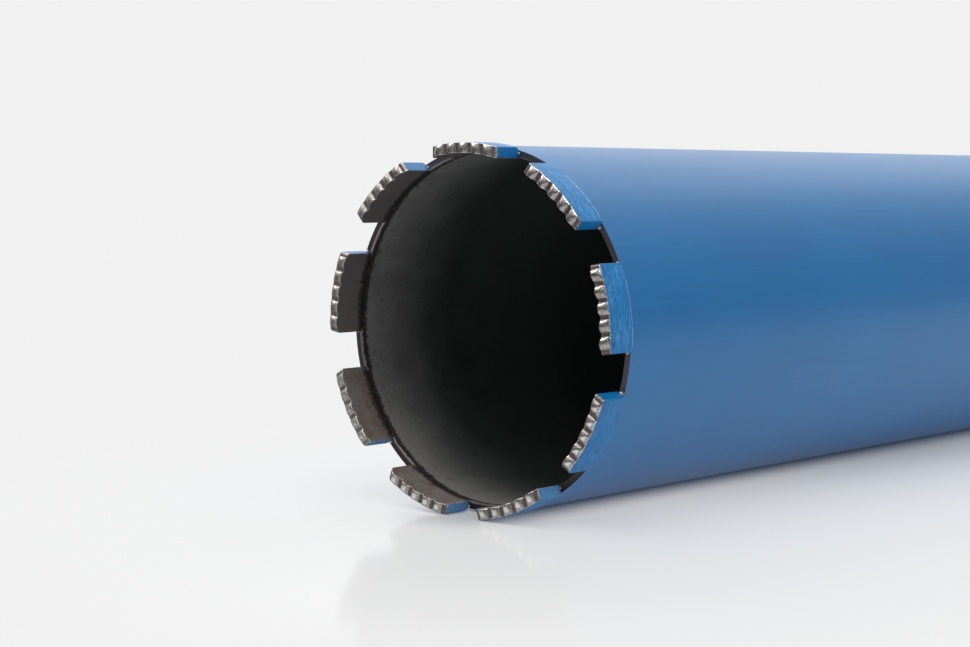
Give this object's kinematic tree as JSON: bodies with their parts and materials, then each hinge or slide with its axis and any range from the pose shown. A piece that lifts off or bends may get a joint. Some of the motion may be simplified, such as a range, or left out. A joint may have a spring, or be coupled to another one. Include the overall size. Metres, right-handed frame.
{
  "type": "diamond core bit",
  "caption": "Wet diamond core bit: blue steel tube with a segmented cutting crown, closed end plate and threaded drive hub.",
  "frame": {"origin": "on the bit's axis, in the plane of the knob tips that the bit stands on", "axes": "+Z along the axis from the cutting crown to the drive hub; one segment is centred on -Y"},
  "size_m": [0.102, 0.1017, 0.502],
  "materials": {
    "barrel_paint": "satin blue enamel on steel tube, bare and dark inside",
    "segment_metal": "sintered diamond segment, bare knobs, blue overspray on the outside",
    "hub_steel": "turned steel"
  },
  "bodies": {
    "root": {"tube": "barrel_paint", "segment_1": "segment_metal", "segment_2": "segment_metal", "segment_3": "segment_metal", "segment_4": "segment_metal", "segment_5": "segment_metal", "segment_6": "segment_metal", "segment_7": "segment_metal", "segment_8": "segment_metal", "segment_9": "segment_metal", "end_plate": "barrel_paint", "barrel_weld": "barrel_paint", "drive_hub": "hub_steel", "hub_weld": "barrel_paint"}
  },
  "joints": []
}
